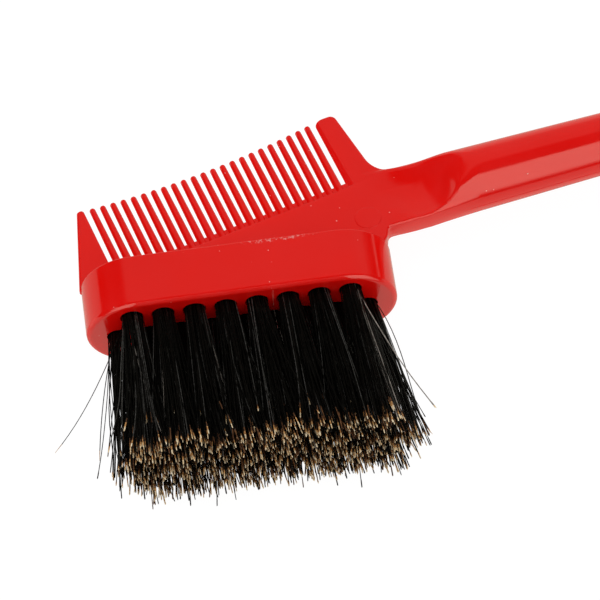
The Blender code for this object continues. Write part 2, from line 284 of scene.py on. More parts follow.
def handle_field(x, across, z, height):
    """The tapering round bar, with a domed tail and a nose that slopes down to the plate."""
    past = np.maximum(x - (HANDLE_TAIL_X - HANDLE_DOME), 0.0) * (HANDLE_TAIL_RADIUS / HANDLE_DOME)
    bar = np.sqrt(past**2 + across**2 + z**2) - handle_radius(x)
    nose = (height - NOSE_HEIGHT - (x - NOSE_X) * NOSE_SLOPE) / math.hypot(1.0, NOSE_SLOPE)
    return smooth_max(bar, nose, NOSE_BLEND)


def dish_field(x, across, height):
    """Positive inside the hollows pressed into both sides of the neck."""
    floor = DISH_FLOOR + DISH_CROWN * (across / DISH_HALF_WIDTH) ** 2
    run = x - DISH_X
    left = height - floor - run**2 / (2 * DISH_LEFT_RADIUS)
    left = left / np.sqrt(1 + (run / DISH_LEFT_RADIUS) ** 2)
    right = DISH_RIGHT_RADIUS - np.hypot(run, height - floor - DISH_RIGHT_RADIUS)
    return np.where(run < 0, left, right)


def body_field(x, y, z):
    """Signed distance to the plate, neck and handle, negative inside. Both sides mirror each other."""
    height = np.sqrt(z * z + 1e-6)
    across = y - HANDLE_Y
    handle = handle_field(x, across, z, height)
    solid = smooth_min(plate_field(x, y, height), handle, NECK_BLEND)
    # The hollow's rim is crisp on the bristle side and fades on the comb side.
    rim = np.clip((across - RIM_FADE_START) / RIM_FADE_WIDTH, 0.0, 1.0)
    return smooth_max(solid, dish_field(x, across, height), RIM_BLEND + RIM_EXTRA_BLEND * rim)


def field_slope(points, step=0.01):
    """The field's value at each point and its rate of change along the three axes."""
    x, y, z = points.T
    centre = body_field(x, y, z)
    slope = [
        body_field(x + step, y, z) - centre,
        body_field(x, y + step, z) - centre,
        body_field(x, y, z + step) - centre,
    ]
    return centre, np.stack(slope, axis=1) / step


def settle(points, rounds):
    """Moves points onto the surface by Newton steps, held back where the field is nearly flat."""
    flattest = 0.05
    for _ in range(rounds):
        value, slope = field_slope(points)
        points = points - slope * (value / np.maximum((slope**2).sum(1), flattest))[:, None]
    return points


def surface_quads(xs, ys, zs):
    """Vertices and quads round the zero surface of body_field on a rectilinear grid."""
    inside = body_field(xs[:, None, None], ys[None, :, None], zs[None, None, :]) < 0
    nx, ny, nz = inside.shape
    count = np.zeros((nx - 1, ny - 1, nz - 1), np.int8)
    for i in (0, 1):
        for j in (0, 1):
            for k in (0, 1):
                count += inside[i:nx - 1 + i, j:ny - 1 + j, k:nz - 1 + k]
    mixed = (count > 0) & (count < 8)
    index = np.full(mixed.shape, -1)
    index[mixed] = np.arange(mixed.sum())
    i, j, k = np.nonzero(mixed)
    centres = [(line[1:] + line[:-1]) / 2 for line in (xs, ys, zs)]
    points = np.stack([centres[0][i], centres[1][j], centres[2][k]], axis=1)
    quads = []
    for axis in range(3):
        other = [(1, 2), (2, 0), (0, 1)][axis]
        low = np.take(inside, range(inside.shape[axis] - 1), axis)
        high = np.take(inside, range(1, inside.shape[axis]), axis)
        cells = np.array(np.nonzero(low != high))
        keep = (cells[other[0]] > 0) & (cells[other[1]] > 0)
        cells = cells[:, keep]
        corners = []
        for back_a, back_b in ((1, 1), (0, 1), (0, 0), (1, 0)):
            cell = cells.copy()
            cell[other[0]] -= back_a
            cell[other[1]] -= back_b
            corners.append(index[tuple(cell)])
        faces = np.stack(corners, axis=1)
        outward = low[tuple(cells)]
        faces[~outward] = faces[~outward][:, ::-1]
        quads.append(faces)
    return points, np.concatenate(quads)


def relax(points, quads):
    """Moves every vertex to the mean of its neighbours along the quads' edges."""
    total = np.zeros_like(points)
    count = np.zeros(len(points))
    for corner in range(4):
        for step in (1, 3):
            np.add.at(total, quads[:, corner], points[quads[:, (corner + step) % 4]])
            np.add.at(count, quads[:, corner], 1)
    return total / count[:, None]


def shell_part():
    """Plate, guards, neck and handle: vertices, faces and one normal for each face corner."""
    low, high = PLATE.min(0) - 1.0, PLATE.max(0) + 1.0
    step = FINE_STEP * 1
    tail = HANDLE_TAIL_X - HANDLE_DOME - 1.0
    xs = np.concatenate([
        np.arange(low[0], FINE_END_X, step),
        np.arange(FINE_END_X, tail, COARSE_STEP),
        np.arange(tail, HANDLE_TAIL_X + 2 * step, step),
    ])
    ys = np.arange(low[1], high[1], step)
    reach = HANDLE_NECK_RADIUS + 3 * step
    zs = np.linspace(-reach, reach, 2 * round(reach / step) + 2)
    points, quads = surface_quads(xs, ys, zs)
    points = settle(points, 3)
    for _ in range(3):
        points = settle(relax(points, quads), 2)
    _, slope = field_slope(points)
    normals = slope / np.linalg.norm(slope, axis=1, keepdims=True)
    return points, quads.tolist(), normals[quads.ravel()]


# Clean loft parts


def weighted_corner_normals(points, faces, limit=35.0):
    """Corner normals that average the faces within the limit angle, weighted by area."""
    cosine = math.cos(math.radians(limit))
    normals = np.zeros((len(faces), 3))
    around = {}
    for number, face in enumerate(faces):
        ring = points[list(face)]
        area = np.cross(ring, np.roll(ring, -1, axis=0)).sum(0) / 2
        normals[number] = area
        for vertex in face:
            around.setdefault(vertex, []).append(number)
    lengths = np.maximum(np.linalg.norm(normals, axis=1), 1e-12)
    units = normals / lengths[:, None]
    corners = []
    for number, face in enumerate(faces):
        for vertex in face:
            near = around[vertex]
            close = [other for other in near if units[other] @ units[number] > cosine]
            corners.append(normals[close].sum(0) if close else units[number])
    corners = np.array(corners)
    return corners / np.maximum(np.linalg.norm(corners, axis=1, keepdims=True), 1e-12)


def loft(rings):
    """Closed body through rings of equal count, which turn so that the faces look outwards."""
    count = len(rings[0])
    points = np.concatenate(rings)
    faces = []
    for level in range(len(rings) - 1):
        base = level * count
        for i in range(count):
            j = (i + 1) % count
            faces.append((base + i, base + j, base + count + j, base + count + i))
    faces.append(tuple(reversed(range(count))))
    faces.append(tuple(range(len(points) - count, len(points))))
    return points, faces


def joined(parts):
    """Points and faces of several parts as one."""
    points, faces, start = [], [], 0
    for part_points, part_faces in parts:
        points.append(part_points)
        faces += [tuple(start + v for v in face) for face in part_faces]
        start += len(part_points)
    return np.concatenate(points), faces


def mesh_object(name, points, faces):
    mesh = bpy.data.meshes.new(name)
    mesh.from_pydata((np.asarray(points) * MM).tolist(), [], [tuple(face) for face in faces])
    mesh.validate()
    thing = bpy.data.objects.new(name, mesh)
    bpy.context.scene.collection.objects.link(thing)
    return thing


def stadium(inset, out):
    """A ring of the block's outline, drawn in by the inset, in block coordinates."""
    half = (BLOCK_LENGTH - BLOCK_HEIGHT) / 2
    radius = BLOCK_HEIGHT / 2 - inset
    ring = []
    for side in (1, -1):
        for step in range(STADIUM_STEPS + 1):
            angle = math.radians(-90 + 180 * step / STADIUM_STEPS) + (0 if side > 0 else math.pi)
            ring.append((side * half + radius * math.cos(angle), out, radius * math.sin(angle)))
    return np.array(ring)


def tuft_places():
    """Label, place along the block and height of each tuft."""
    places = []
    for row, up, count in (("upper", ROW_SPACING, 8), ("middle", 0.0, 9), ("lower", -ROW_SPACING, 8)):
        for index in range(count):
            places.append((f"{row}_{index + 1}", (index - (count - 1) / 2) * TUFT_PITCH, up))
    return places


def hole_cutters():
    """A cylinder for each tuft's hole, from the hole's floor to just outside the bristle face."""
    turn = np.radians(np.arange(HOLE_SIDES) * 360 / HOLE_SIDES)
    radius = TUFT_RADIUS + HOLE_CLEARANCE
    cutters = []
    for _, along, up in tuft_places():
        rings = []
        for out in (-HOLE_DEPTH, 1.0):
            ring = [along + radius * np.cos(turn), np.full(HOLE_SIDES, out), up - radius * np.sin(turn)]
            rings.append(from_block(np.stack(ring, axis=1)[::-1]))
        cutters.append(loft(rings))
    return joined(cutters)


def block_part():
    """The bristle block with rounded edges and its holes cut."""
    rings = []
    for step in range(5):
        angle = math.radians(90 * step / 4)
        out = -BLOCK_DEPTH + BACK_EDGE * (1 - math.cos(angle))
        rings.append(stadium(BACK_EDGE * (1 - math.sin(angle)), out))
    for step in range(7):
        angle = math.radians(90 * step / 6)
        rings.append(stadium(FACE_EDGE * (1 - math.cos(angle)), -FACE_EDGE * (1 - math.sin(angle))))
    block = mesh_object("block_guide", *loft([from_block(ring) for ring in rings]))
    holes = mesh_object("holes_guide", *hole_cutters())
    cut = block.modifiers.new("holes", "BOOLEAN")
    cut.operation = "DIFFERENCE"
    cut.solver = "EXACT"
    cut.object = holes
    evaluated = block.evaluated_get(bpy.context.evaluated_depsgraph_get())
    mesh = bpy.data.meshes.new_from_object(evaluated)
    points = np.array([tuple(v.co) for v in mesh.vertices]) / MM
    faces = [tuple(p.vertices) for p in mesh.polygons]
    for guide in (block, holes):
        bpy.data.objects.remove(guide, do_unlink=True)
    return points, faces, weighted_corner_normals(points, faces)


def tooth_part(index):
    """One tooth: rounded six-sided section, widest at mid thickness, with a round tip."""
    middle = (TOOTH_COUNT - 1) / 2
    reach = TIP_LENGTH + TIP_CURVE * ((index - middle) / middle) ** 2
    flat = TOOTH_FLAT
    hexagon = [(0.5, 0.0), (flat, 0.5), (-flat, 0.5), (-0.5, 0.0), (-flat, -0.5), (flat, -0.5)]
    stations = [(out, 1.0) for out in np.linspace(-TOOTH_SINK, reach - TOOTH_TIP_RUN, 6)]
    for step in range(1, 5):
        angle = math.radians(90 * step / 4.3)
        stations.append((reach - TOOTH_TIP_RUN + TOOTH_TIP_RUN * math.sin(angle), math.cos(angle)))
    rings = []
    for out, share in stations:
        part = (out + TOOTH_SINK) / (reach + TOOTH_SINK)
        width = TOOTH_ROOT_WIDTH + (TOOTH_TIP_WIDTH - TOOTH_ROOT_WIDTH) * part
        height = BASE_THICKNESS + (TIP_THICKNESS - BASE_THICKNESS) * part
        corners = [(x * width, z * height, TOOTH_ROUNDING * width) for x, z in hexagon]
        section = rounded_outline(corners, pieces=4)
        section = section * (TOOTH_TIP_BLUNT + (1 - TOOTH_TIP_BLUNT) * share)
        plan = [comb_point(x + TOOTH_PITCH * index, out) for x, _ in section]
        ring = np.array([(px, py, z) for (px, py), (_, z) in zip(plan, section)])
        rings.append(ring[::-1])
    points, faces = loft(rings)
    return points, faces, weighted_corner_normals(points, faces, 50.0)


def web_part():
    """The thin strip that closes the gaps just above the base line."""
    first, last = -WEB_MARGIN[0], LAST_TOOTH + WEB_MARGIN[1]
    run, drop = WEB_CHAMFER
    half = WEB_THICKNESS / 2
    rings = []
    for out, up in ((-WEB_SINK, half), (WEB_REACH - run, half), (WEB_REACH, half - drop)):
        ends = [(first, up), (last, up), (last, -up), (first, -up)]
        rings.append(np.array([(*comb_point(along, out), z) for along, z in ends]))
    points, faces = loft(rings)
    return points, faces, weighted_corner_normals(points, faces)


def seam_part(side):
    """The low ridge that the mould's parting line leaves along the handle."""
    width = SEAM_HALF_WIDTH
    rings = []
    for x in np.linspace(SEAM_START_X, HANDLE_TAIL_X - HANDLE_DOME, SEAM_STATIONS):
        foot = handle_radius(x) - SEAM_SINK
        crest = handle_radius(x) + SEAM_PROUD
        section = [(foot, -width), (crest, -width * 0.4), (crest, width * 0.4), (foot, width)]
        ring = np.array([(x, HANDLE_Y + side * across, z) for across, z in section])
        rings.append(ring if side < 0 else ring[::-1])
    points, faces = loft(rings)
    return points, faces, weighted_corner_normals(points, faces)


def ejector_part():
    """The faint round mark that an ejector pin leaves on the plate beside the block."""
    angle = math.radians(COMB_TURN)
    outward = np.array([-math.sin(angle), math.cos(angle)])
    turn = np.radians(np.arange(EJECTOR_SIDES) * 360 / EJECTOR_SIDES)
    rings = []
    for share, lift in (
        (1.0, -0.1),
        (1.0, EJECTOR_PROUD * 0.3),
        (0.975, EJECTOR_PROUD * 0.8),
        (0.94, EJECTOR_PROUD),
    ):
        radius = EJECTOR_RADIUS * share
        plan_x = EJECTOR_PLACE[0] + radius * np.cos(turn)
        plan_y = EJECTOR_PLACE[1] + radius * np.sin(turn)
        plan = np.stack([plan_x, plan_y], axis=1)
        out = (plan - np.array(COMB_ORIGIN)) @ outward
        height = BASE_THICKNESS / 2 - SPINE_TAPER * out + lift
        rings.append(np.column_stack([plan, height]))
    points, faces = loft(rings)
    return points, faces, weighted_corner_normals(points, faces)


def moulding():
    """The whole moulded body as one mesh, with the normals of each part kept."""
    parts = [shell_part(), block_part(), web_part(), seam_part(-1), seam_part(1), ejector_part()]
    parts += [tooth_part(index) for index in range(TOOTH_COUNT)]
    points, faces = joined([part[:2] for part in parts])
    points[:, 2] += MID_Z
    mesh = bpy.data.meshes.new("moulded_body_shell")
    mesh.from_pydata((points * MM).tolist(), [], faces)
    mesh.shade_smooth()
    mesh.normals_split_custom_set(np.concatenate([part[2] for part in parts]).tolist())
    thing = bpy.data.objects.new("moulded_body_shell", mesh)
    bpy.context.scene.collection.objects.link(thing)
    return thing


# Bristles


BRISTLE_COUNT = 132
BRISTLE_SEED = 4100
SIDES = 5
TABLE_GAP = 0.3

# How the tufts stand, in degrees: the fan at the block's middle, what it gains towards the handle
# by the block's end, and the lean of the outer rows.
FAN_MIDDLE = 2.6
FAN_SPREAD = 3.6
ROW_LEAN = 1.6

# How the bristles of a tuft differ. Slopes are sideways travel for each millimetre out of the block.
# Pairs of slopes and of bends are along the block and across its rows, and other pairs are ranges.
ROOT_DEPTH = 5.6
BRISTLE_LENGTH = 29.5
LENGTH_SCATTER = 0.95
BROKEN_SHARE = 0.09
BROKEN_LOSS = (1, 8)
LONG_ABOVE = 0.97
LONG_GAIN = (0.8, 2.4)
ROOT_SLOPE = (0.050, 0.030)
SLOPE_SCATTER = (0.034, 0.022)
WILD_SHARE = 0.08
WILD_SLOPE = (0.13, 0.04)
WILD_CALM_AT_ENDS = 0.65
BEND = (1.7, 0.8)
BEND_START = 0.35
WAVE = 0.16
WAVE_TURNS = (0.5, 1.4)
BRISTLE_RADIUS = (0.075, 0.112)
TIP_SWELL = (1.0, 1.45)
TIP_TAPER = 0.75

# Stations: shares of the free length up the shaft, then millimetres back from the tip, where the
# pale zone is stretched by a random factor.
SHAFT_SHARES = (0.0, 0.07, 0.16, 0.27, 0.39, 0.51, 0.63, 0.74, 0.83)
TIP_STATIONS = (2.4, 1.55, 0.78, 0.2, 0.0)
STRETCHED_BEYOND = 0.3
ZONE_STRETCH = (0.35, 1.30)

# Material zones, and the draws from 0 to 1 that give a bristle a dark tip, a brown tip, a shiny
# shaft whose lighter grey colour is painted sheen, or a grey one.
SHAFT, BROWN, TAN, CREAM, GREY, PAINTED_SHEEN = range(6)
DARK_TIP_BELOW = 0.44
BROWN_TIP_BELOW = 0.58
PAINTED_SHEEN_ABOVE = 0.86
GREY_ABOVE = 0.994


def hair_tubes(paths, radii, kinds):
    """Tubes along paths (hairs, stations, 3) in block coordinates, with one material a station."""
    hairs, stations, _ = paths.shape
    turn = 2 * math.pi * np.arange(SIDES) / SIDES
    along, _, up = block_axes()
    ring = np.cos(turn)[:, None] * along - np.sin(turn)[:, None] * up
    points = from_block(paths)[:, :, None, :] + radii[:, :, None, None] * ring
    points = points.reshape(-1, 3)
    points[:, 2] += MID_Z
    i, s, k = np.meshgrid(np.arange(hairs), np.arange(stations - 1), np.arange(SIDES), indexing="ij")
    base = (i * stations + s) * SIDES
    after = (k + 1) % SIDES
    quads = np.stack([base + k, base + SIDES + k, base + SIDES + after, base + after], axis=-1)
    quads = quads.reshape(-1, 4)
    zones = kinds[i, s].ravel()
    last = (np.arange(hairs) * stations + stations - 1)[:, None] * SIDES + np.arange(SIDES)[::-1]
    faces = quads.tolist() + last.tolist()
    return points, faces, np.concatenate([zones, kinds[:, -1]])


def bristle_paths(random, along, up, count):
    """Paths, radii and material zones of the bristles of one tuft."""
    angle = random.uniform(0, 2 * math.pi, count)
    share = np.sqrt(random.uniform(0, 1, count))
    root = np.stack([share * np.cos(angle), share * np.sin(angle)], axis=1) * (TUFT_RADIUS + 0.1)
    across = along / (BLOCK_LENGTH / 2)
    fan = math.tan(math.radians(FAN_MIDDLE + FAN_SPREAD * across))
    lean = math.tan(math.radians(ROW_LEAN * up / ROW_SPACING))
    length = BRISTLE_LENGTH + random.normal(0, LENGTH_SCATTER, count)
    draw = random.uniform(0, 1, count)
    length = np.where(draw < BROKEN_SHARE, length - random.uniform(*BROKEN_LOSS, count), length)
    length = np.where(draw > LONG_ABOVE, length + random.uniform(*LONG_GAIN, count), length)
    slope = np.stack([np.full(count, fan), np.full(count, lean)], axis=1)
    slope = slope + root / TUFT_RADIUS * np.array(ROOT_SLOPE)
    slope = slope + random.normal(0, 1, (count, 2)) * np.array(SLOPE_SCATTER)
    wild = random.uniform(0, 1, count) < WILD_SHARE
    loose = WILD_SLOPE[0] * (1.0 - WILD_CALM_AT_ENDS * abs(across))
    slope[wild] += random.normal(0, 1, (wild.sum(), 2)) * np.array([loose, WILD_SLOPE[1]])
    bend = random.normal(0, 1, (count, 2)) * np.array(BEND)
    wave = random.normal(0, WAVE, (count, 2))
    phase = random.uniform(0, 2 * math.pi, (count, 1))
    turns = random.uniform(*WAVE_TURNS, (count, 1))
    free = np.array(SHAFT_SHARES)[None, :] * length[:, None]
    zone = random.uniform(*ZONE_STRETCH, count)
    tips = np.array(TIP_STATIONS)
    ends = length[:, None] - tips[None, :] * np.where(tips > STRETCHED_BEYOND, zone[:, None], 1.0)
    outs = np.concatenate([np.full((count, 1), -ROOT_DEPTH), free, ends], axis=1)
    run = np.clip(outs / length[:, None], 0, 1)
    paths = np.zeros((count, outs.shape[1], 3))
    paths[:, :, 1] = outs
    for axis, place, middle in ((0, 0, along), (1, 2, up)):
        swing = slope[:, axis, None] * np.maximum(outs, 0)
        swing = swing + bend[:, axis, None] * (run**2 - BEND_START * run)
        swing = swing + wave[:, axis, None] * np.sin(phase + run * turns * 2 * math.pi) * run
        paths[:, :, place] = middle + root[:, axis, None] + swing
    width = random.uniform(*BRISTLE_RADIUS, count)
    radii = np.repeat(width[:, None], outs.shape[1], axis=1)
    radii[:, -4:-1] *= random.uniform(*TIP_SWELL, (count, 1))
    radii[:, -1] *= TIP_TAPER
    kinds = np.full(outs.shape, SHAFT)
    kinds[:, -5] = BROWN
    kinds[:, -4] = TAN
    kinds[:, -3:] = CREAM
    draw = random.uniform(0, 1, count)
    kinds[draw < DARK_TIP_BELOW, -5:] = SHAFT
    kinds[(draw > DARK_TIP_BELOW) & (draw < BROWN_TIP_BELOW), -4:] = BROWN
    # Some shafts turn shiny. Their glossier finish is real, and their lighter grey colour is painted
    # sheen.
    kinds[draw > PAINTED_SHEEN_ABOVE, :-5] = PAINTED_SHEEN
    kinds[draw > GREY_ABOVE, :-3] = GREY
    return paths, radii, kinds


def stray_path(points, stations):
    """A smooth path through the block points (along, out, up) of one stray bristle."""
    points = np.array(points, float)
    knots = np.linspace(0, 1, len(points))
    where = np.linspace(0, 1, stations)
    degree = min(3, len(points) - 1)
    curves = [np.polyfit(knots, points[:, axis], degree) for axis in range(3)]
    return np.stack([np.polyval(curve, where) for curve in curves], axis=1)


# The longest stray bristles, by tuft, as points (along, out, up) of the block.
STRAYS = {
    "upper_1": [(-20.6, -1.0, 6.6), (-25.5, 8.0, 4.6), (-30.8, 16.0, 2.4), (-37.0, 23.6, 1.5)],
    "middle_1": [(-23.4, -1.0, 0.6), (-26.9, 12.0, 0.5), (-29.2, 25.5, 0.0)],
    "middle_9": [(24.2, -1.0, 0.4), (27.6, 10.5, 0.3), (28.9, 21.4, 0.2), (31.0, 29.0, 0.0)],
    "upper_8": [(21.0, -1.0, 6.4), (24.6, 14.0, 6.0), (27.2, 28.6, 5.0), (28.1, 32.5, 4.6)],
}
STRAY_RADIUS = 0.09
STRAY_TIP_TAPER = 0.45


def make_tuft(number, place):
    """One tuft as one object, with its own fixed seed."""
    label, along, up = place
    random = np.random.default_rng(BRISTLE_SEED + number)
    count = BRISTLE_COUNT
    paths, radii, kinds = bristle_paths(random, along, up, count)
    stations = paths.shape[1]
    if label in STRAYS:
        paths = np.concatenate([paths, stray_path(STRAYS[label], stations)[None]])
        radii = np.concatenate([radii, np.full((1, stations), STRAY_RADIUS)])
        radii[-1, -1] *= STRAY_TIP_TAPER
        zones = np.full((1, stations), SHAFT)
        zones[0, -2:] = TAN
        kinds = np.concatenate([kinds, zones])
    # Nothing reaches the table that the brush lies on.
    paths[:, :, 2] = np.maximum(paths[:, :, 2], TABLE_GAP - MID_Z)
    points, faces, zones = hair_tubes(paths, radii, kinds)
    mesh = bpy.data.meshes.new(f"bristles_{label}")
    mesh.from_pydata((points * MM).tolist(), [], faces)
    for material in BRISTLE_MATERIALS:
        mesh.materials.append(material)
    mesh.polygons.foreach_set("material_index", zones.astype(np.int32))
    mesh.shade_smooth()
    thing = bpy.data.objects.new(f"bristles_{label}", mesh)
    bpy.context.scene.collection.objects.link(thing)
    return thing


# Materials


class Nodes:
    """Adds shader nodes and links them in short calls."""

    def __init__(self, tree):
        self.tree = tree

    def add(self, kind, inputs=(), **settings):
        node = self.tree.nodes.new(kind)
        for name, value in settings.items():
            setattr(node, name, value)
        for name, value in dict(inputs).items():
            socket = node.inputs[name]
            if isinstance(value, bpy.types.NodeSocket):
                self.tree.links.new(value, socket)
            else:
                socket.default_value = value
        return node

    def noise(self, where, scale, detail=2.0, roughness=0.5):
        inputs = {"Vector": where, "Scale": scale, "Detail": detail, "Roughness": roughness}
        return self.add("ShaderNodeTexNoise", inputs).outputs["Fac"]

    def spread(self, value, low, high, start=0.0, end=1.0, smooth=False):
        """Maps low..high onto start..end, held at the ends."""
        inputs = {"Value": value, "From Min": low, "From Max": high, "To Min": start, "To Max": end}
        kind = "SMOOTHSTEP" if smooth else "LINEAR"
        return self.add("ShaderNodeMapRange", inputs, interpolation_type=kind).outputs["Result"]

    def math(self, operation, first, second=0.0):
        node = self.add("ShaderNodeMath", operation=operation)
        for socket, value in zip(node.inputs, (first, second)):
            if isinstance(value, bpy.types.NodeSocket):
                self.tree.links.new(value, socket)
            else:
                socket.default_value = value
        return node.outputs[0]

    def blend(self, share, first, second):
        node = self.add("ShaderNodeMix", data_type="RGBA")
        for number, value in ((0, share), (6, first), (7, second)):
            if isinstance(value, bpy.types.NodeSocket):
                self.tree.links.new(value, node.inputs[number])
            else:
                node.inputs[number].default_value = value
        return node.outputs[2]

    def mottled(self, share, colours):
        return self.blend(share, *((*colour, 1.0) for colour in colours))


def new_material(name):
    material = bpy.data.materials.new(name)
    material.use_nodes = True
    shader = material.node_tree.nodes["Principled BSDF"]
    return material, shader, Nodes(material.node_tree)


# Colours are linear RGB. Each pair is the darkest and the lightest of a material's mottling.
RED = ((0.75, 0.0026, 0.0012), (0.85, 0.0044, 0.0022))
RED_IOR = 1.47
RED_ROUGHNESS = (0.09, 0.17)
WORN_RED = (0.85, 0.52, 0.48)
WORN_ROUGHNESS = 0.4

# Dust: how much a speck shows, cells a metre, and the largest speck as a share of its cell.
DUST_SHOW = 0.65
DUST_CELLS = 600.0
DUST_SIZE = 0.075

# Rubs along the block's back edge: how much they show, where their patch's middle is along the
# block, and half the patch's size in metres.
RUB_SHOW = 0.5
RUB_ALONG = 8.0
RUB_PATCH = (0.022, 0.0030, 0.0030)


def dust(nodes, where):
    """Rare pale specks: most cells of the pattern hold none."""
    cells = nodes.add("ShaderNodeTexVoronoi", {"Vector": where, "Scale": DUST_CELLS})
    picked = nodes.add("ShaderNodeSeparateColor", {"Color": cells.outputs["Color"]}).outputs[0]
    size = nodes.spread(picked, 0.45, 1.0, 0.0, DUST_SIZE)
    return nodes.math("LESS_THAN", cells.outputs["Distance"], size)


def rubs(nodes, where):
    """Broken pale marks along the upper back edge of the block."""
    along, out, _ = block_axes()
    middle = along * RUB_ALONG - out * (BLOCK_DEPTH / 2) + np.array([0.0, 0.0, BLOCK_HEIGHT])
    patch = nodes.add("ShaderNodeMapping", {
        "Vector": where,
        "Location": tuple(middle * MM),
        "Rotation": (0.0, 0.0, math.radians(BLOCK_TURN)),
        "Scale": RUB_PATCH,
    }, vector_type="TEXTURE").outputs["Vector"]
    offset = nodes.add("ShaderNodeVectorMath", {0: patch}, operation="LENGTH")
    near = nodes.spread(offset.outputs["Value"], 0.15, 1.0, 1.0, 0.0, smooth=True)
    broken = nodes.noise(where, 1500.0, 4.0, 0.75)
    return nodes.spread(nodes.math("MULTIPLY", broken, near), 0.50, 0.62)


def moulded_relief(nodes, where):
    """Soft ripples, a fine grain and a few long scratches, as a bump."""
    ripple = nodes.noise(where, 240.0, 1.0)
    grain = nodes.noise(where, 1600.0, 2.0)
    stretched = nodes.add("ShaderNodeMapping", {
        "Vector": where,
        "Scale": (60.0, 900.0, 900.0),
        "Rotation": (0.0, 0.0, 0.5),
    }).outputs["Vector"]
    scratch = nodes.spread(nodes.noise(stretched, 1.0, 1.0), 0.66, 0.70)
    height = nodes.math("ADD", nodes.math("MULTIPLY", ripple, 0.9), nodes.math("MULTIPLY", grain, 0.05))
    height = nodes.math("SUBTRACT", height, nodes.math("MULTIPLY", scratch, 0.06))
    bump = nodes.add("ShaderNodeBump", {"Height": height, "Strength": 0.5, "Distance": 0.00002})
    return bump.outputs["Normal"]


def red_plastic():
    material, shader, nodes = new_material("red_plastic_gloss")
    link = material.node_tree.links.new
    where = nodes.add("ShaderNodeTexCoord").outputs["Object"]
    colour = nodes.mottled(nodes.noise(where, 45.0), RED)
    specks = nodes.math("MULTIPLY", dust(nodes, where), DUST_SHOW)
    mark = nodes.math("MAXIMUM", specks, nodes.math("MULTIPLY", rubs(nodes, where), RUB_SHOW))
    link(nodes.blend(mark, colour, (*WORN_RED, 1.0)), shader.inputs["Base Color"])
    roughness = nodes.spread(nodes.noise(where, 120.0, 3.0), 0.3, 0.7, *RED_ROUGHNESS)
    worn = nodes.math("MULTIPLY", mark, WORN_ROUGHNESS)
    link(nodes.math("ADD", roughness, worn), shader.inputs["Roughness"])
    shader.inputs["IOR"].default_value = RED_IOR
    link(moulded_relief(nodes, where), shader.inputs["Normal"])
    return material


def bristle(name, colours, roughness, specular, shift):
    """One zone of a bristle. The shift moves its pattern away from that of the other zones."""
    material, shader, nodes = new_material(name)
    link = material.node_tree.links.new
    where = nodes.add("ShaderNodeTexCoord").outputs["Object"]
    inputs = {"Vector": where, "Location": (shift, shift, shift)}
    shifted = nodes.add("ShaderNodeMapping", inputs).outputs["Vector"]
    tone = nodes.spread(nodes.noise(shifted, 1500.0, 2.0), 0.35, 0.65)
    link(nodes.mottled(tone, colours), shader.inputs["Base Color"])
    fine = nodes.noise(shifted, 5000.0, 2.0)
    rough = nodes.spread(fine, 0.3, 0.7, roughness - 0.08, roughness + 0.08)
    link(rough, shader.inputs["Roughness"])
    shader.inputs["Specular IOR Level"].default_value = specular
    bump = nodes.add("ShaderNodeBump", {"Height": fine, "Strength": 0.4, "Distance": 0.00001})
    link(bump.outputs["Normal"], shader.inputs["Normal"])
    return material


BRASS = ((0.62, 0.50, 0.27), (0.80, 0.68, 0.42))
TABLE_GREY = ((0.10, 0.10, 0.10), (0.12, 0.12, 0.12))
TABLE_GLOW = 0.95


def anchor_metal():
    material, shader, nodes = new_material("anchor_metal")
    link = material.node_tree.links.new
    where = nodes.add("ShaderNodeTexCoord").outputs["Object"]
    tone = nodes.noise(where, 800.0, 3.0)
    link(nodes.mottled(tone, BRASS), shader.inputs["Base Color"])
    link(nodes.spread(tone, 0.3, 0.7, 0.25, 0.42), shader.inputs["Roughness"])
    shader.inputs["Metallic"].default_value = 1.0
    bump = nodes.add("ShaderNodeBump", {"Height": tone, "Strength": 0.3, "Distance": 0.00002})
    link(bump.outputs["Normal"], shader.inputs["Normal"])
    return material


def table_white():
    """A table that glows by itself, so that it stays evenly white and hardly shows a shadow."""
    material, shader, nodes = new_material("table_white")
    link = material.node_tree.links.new
    where = nodes.add("ShaderNodeTexCoord").outputs["Object"]
    tone = nodes.noise(where, 3.0)
    link(nodes.mottled(tone, TABLE_GREY), shader.inputs["Base Color"])
    shader.inputs["Roughness"].default_value = 0.9
    shader.inputs["Specular IOR Level"].default_value = 0.0
    shader.inputs["Emission Color"].default_value = (1.0, 1.0, 1.0, 1.0)
    shader.inputs["Emission Strength"].default_value = TABLE_GLOW
    return material


# In the order of the zones: shaft, brown, tan, cream, grey, and the shiny shaft whose lighter grey is
# painted sheen.
BRISTLE_MATERIALS = [
    bristle("bristle_shaft", ((0.0010, 0.0008, 0.0007), (0.0035, 0.0028, 0.0022)), 0.30, 0.10, 0.0),
    bristle("bristle_brown", ((0.045, 0.016, 0.006), (0.16, 0.065, 0.022)), 0.45, 0.3, 0.1),
    bristle("bristle_tan", ((0.34, 0.14, 0.035), (0.66, 0.35, 0.12)), 0.5, 0.3, 0.2),
    bristle("bristle_tip", ((0.68, 0.46, 0.22), (0.92, 0.78, 0.54)), 0.5, 0.3, 0.3),
    bristle("bristle_grey", ((0.16, 0.14, 0.12), (0.34, 0.30, 0.26)), 0.4, 0.5, 0.4),
    # The shiny shaft: its higher specular is real gloss, and its lighter grey base colour is painted
    # sheen.
    bristle("bristle_painted_sheen", ((0.008, 0.007, 0.006), (0.045, 0.042, 0.040)), 0.28, 0.8, 0.5),
]


# Object


def build():
    body = moulding()
    body.data.materials.append(red_plastic())
    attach(body, "root")
    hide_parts("moulded_body")
    for number, place in enumerate(tuft_places()):
        tuft = make_tuft(number, place)
        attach(tuft, "root")
        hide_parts(f"tuft_{place[0]}")
    metal = anchor_metal()
    for name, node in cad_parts.items():
        if name.startswith("anchor_"):
            node.data.materials.clear()
            node.data.materials.append(metal)


# Studio


# The studio is in metres.
CAMERA_PLACE = (-0.07461, -0.35716, 0.61092)
CAMERA_AZIMUTH = -13.554
CAMERA_ELEVATION = 58.875
CAMERA_ROLL = -3.713
CAMERA_LENS = 228.0


